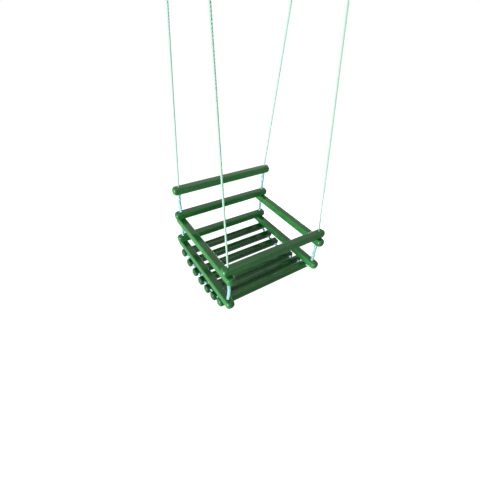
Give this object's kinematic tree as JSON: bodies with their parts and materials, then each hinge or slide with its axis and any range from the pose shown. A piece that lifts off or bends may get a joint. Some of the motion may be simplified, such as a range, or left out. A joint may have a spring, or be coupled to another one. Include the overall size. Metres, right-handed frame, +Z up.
{
  "type": "child swing seat",
  "caption": "Child's swing seat of painted wooden rods threaded on rope, with clear tube spacers, a sagging slatted seat, front and top rods that slide up, and screw hooks above.",
  "frame": {"origin": "the middle of the four screw hooks, on the underside of the beam that they go into", "axes": "+Z up into the beam; the child faces -Y; the cross rods run along X; the back rods are towards +Y"},
  "size_m": [0.325, 0.314, 0.7916],
  "materials": {
    "painted_wood": "glossy green enamel paint on turned-edge square timber",
    "rope": "pale mint three-strand twisted synthetic rope, slightly shiny",
    "clear_tube": "clear flexible plastic tube",
    "hook_steel": "zinc-plated steel wire"
  },
  "bodies": {
    "hooks": {"front_hook_left": "hook_steel", "front_hook_right": "hook_steel", "rear_hook_left": "hook_steel", "rear_hook_right": "hook_steel"},
    "rear_ropes": {"rear_knot_left": "rope", "rear_knot_right": "rope", "rear_loop_left": "rope", "rear_loop_right": "rope", "rear_strand_left": "rope", "rear_strand_right": "rope"},
    "front_ropes": {"front_knot_left": "rope", "front_knot_right": "rope", "front_loop_left": "rope", "front_loop_right": "rope", "front_strand_left": "rope", "front_strand_right": "rope"},
    "back_rod": {"top_back_rod": "painted_wood"},
    "front_bar": {"front_rod": "painted_wood"},
    "seat": {"front_tube_left": "clear_tube", "front_tube_right": "clear_tube", "lower_back_rod": "painted_wood", "lower_back_tube_left": "clear_tube", "lower_back_tube_right": "clear_tube", "lower_side_rod_left": "painted_wood", "lower_side_rod_right": "painted_wood", "seat_rope_left": "rope", "seat_rope_right": "rope", "slat_1": "painted_wood", "slat_2": "painted_wood", "slat_3": "painted_wood", "slat_4": "painted_wood", "slat_5": "painted_wood", "slat_6": "painted_wood", "slat_7": "painted_wood", "spacer_left_1": "clear_tube", "spacer_left_2": "clear_tube", "spacer_left_3": "clear_tube", "spacer_left_4": "clear_tube", "spacer_left_5": "clear_tube", "spacer_left_6": "clear_tube", "spacer_right_1": "clear_tube", "spacer_right_2": "clear_tube", "spacer_right_3": "clear_tube", "spacer_right_4": "clear_tube", "spacer_right_5": "clear_tube", "spacer_right_6": "clear_tube", "upper_back_rod": "painted_wood", "upper_back_tube_left": "clear_tube", "upper_back_tube_right": "clear_tube", "upper_side_rod_left": "painted_wood", "upper_side_rod_right": "painted_wood"}
  },
  "joints": [
    {"name": "swing", "type": "hinge", "parent": "hooks", "child": "rear_ropes", "pos_m": [0, 0.075, -0.04109], "axis": [1, 0, 0], "range_deg": [-14, 14]},
    {"name": "seat_on_rear_ropes", "type": "hinge", "parent": "rear_ropes", "child": "seat", "pos_m": [0, 0.1247, -0.52859], "axis": [1, 0, 0], "range_deg": [-8.1, 8.1]},
    {"name": "front_ropes_swing", "type": "hinge", "parent": "hooks", "child": "front_ropes", "pos_m": [0, -0.075, -0.04109], "axis": [1, 0, 0], "range_deg": [-13, 13]},
    {"name": "back_rod_slide", "type": "slide", "parent": "rear_ropes", "child": "back_rod", "axis": [0, -0.1014, 0.9948], "range_m": [0, 0.2]},
    {"name": "front_rod_slide", "type": "slide", "parent": "front_ropes", "child": "front_bar", "axis": [0, 0.1297, 0.9916], "range_m": [0, 0.25]}
  ],
  "couplings": [
    {"joint": "seat_on_rear_ropes", "follows": "swing", "ratio": -0.56937},
    {"joint": "front_ropes_swing", "follows": "swing", "ratio": 0.91913}
  ]
}
